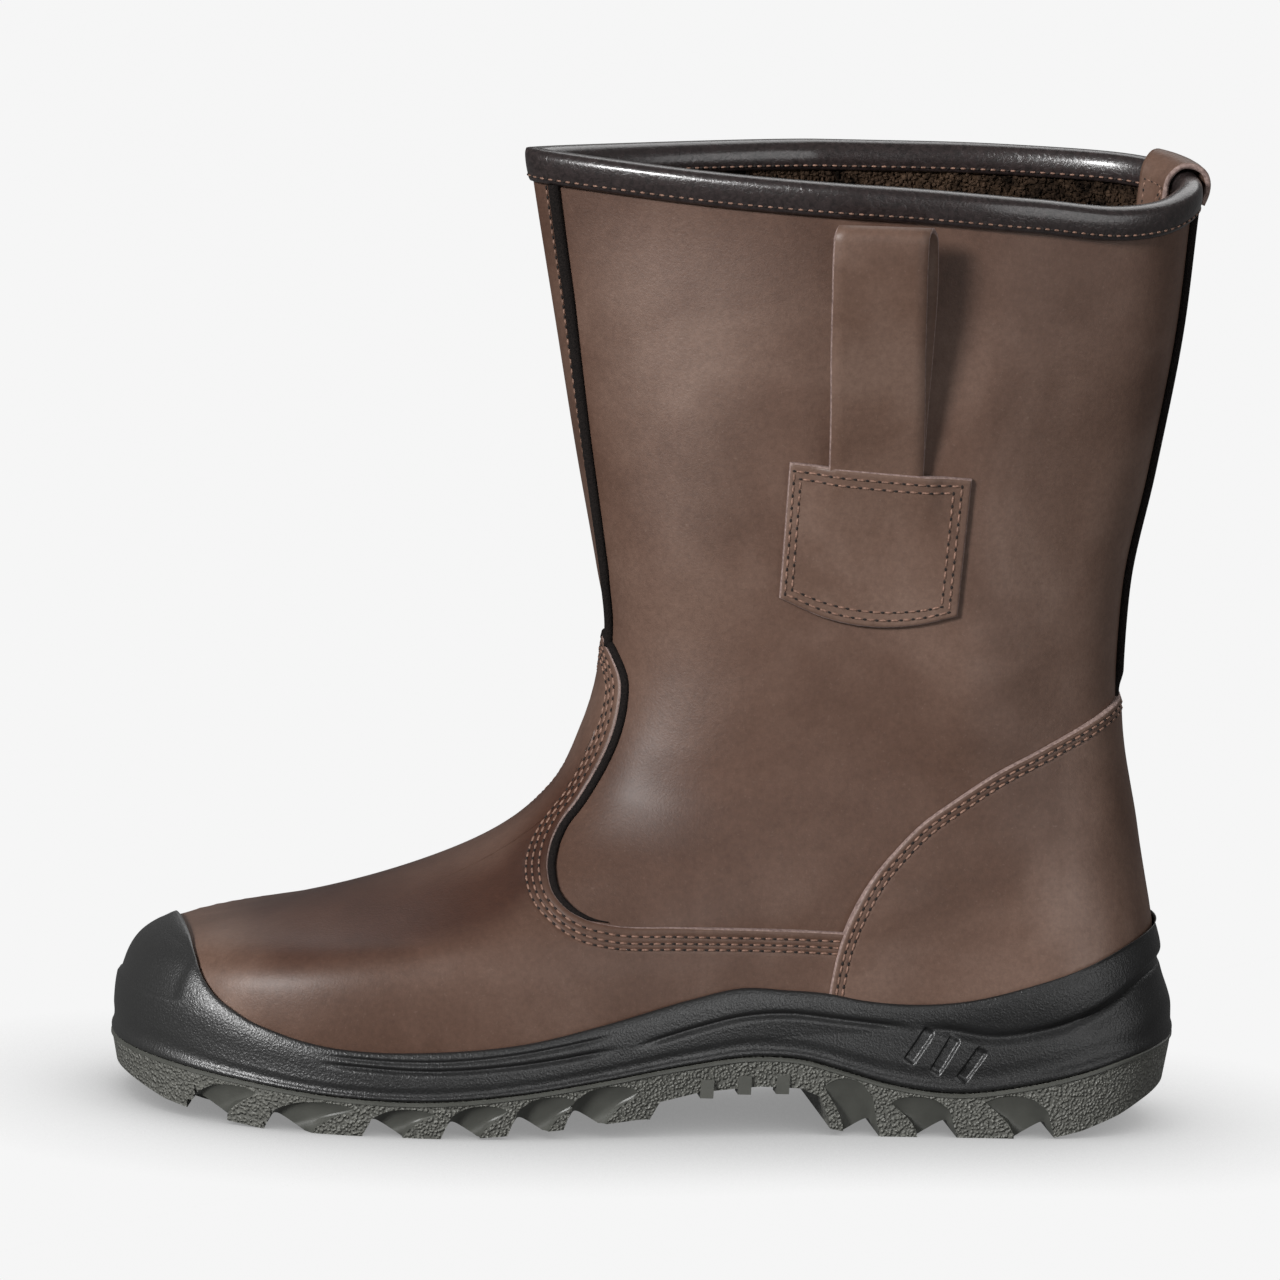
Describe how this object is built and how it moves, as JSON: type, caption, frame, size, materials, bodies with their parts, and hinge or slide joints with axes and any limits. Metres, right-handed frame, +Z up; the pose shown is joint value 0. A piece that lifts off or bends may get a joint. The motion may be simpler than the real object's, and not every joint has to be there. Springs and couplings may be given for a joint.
{
  "type": "tall safety boot",
  "caption": "Left pull-on safety work boot: hollow leather shaft and foot, toe bumper, lugged sole, folded pull straps and a pile-lined collar.",
  "frame": {"origin": "middle of the bounding box on the floor under the tread", "axes": "+X from the toe towards the heel, +Y towards the inner side of the foot, +Z up"},
  "size_m": [0.3106, 0.1146, 0.2834],
  "materials": {
    "outsole_rubber": "pebbled matte grey-olive rubber",
    "midsole_rubber": "satin black moulded foam rubber",
    "insole_felt": "dark brown felt",
    "upper_leather": "oiled brown leather with a satin pull-up sheen",
    "strap_leather": "oiled brown leather with raw edges",
    "trim_leather": "glossy black-brown leather"
  },
  "bodies": {
    "root": {"outsole": "outsole_rubber", "midsole": "midsole_rubber", "insole": "insole_felt", "upper": "upper_leather", "vamp": "upper_leather", "counter": "upper_leather", "strap_patch_lateral": "upper_leather", "strap_patch_medial": "upper_leather", "pull_strap_lateral": "strap_leather", "pull_strap_medial": "strap_leather", "back_tab": "strap_leather", "collar_binding": "trim_leather", "front_piping": "trim_leather", "back_piping": "trim_leather"}
  },
  "joints": []
}
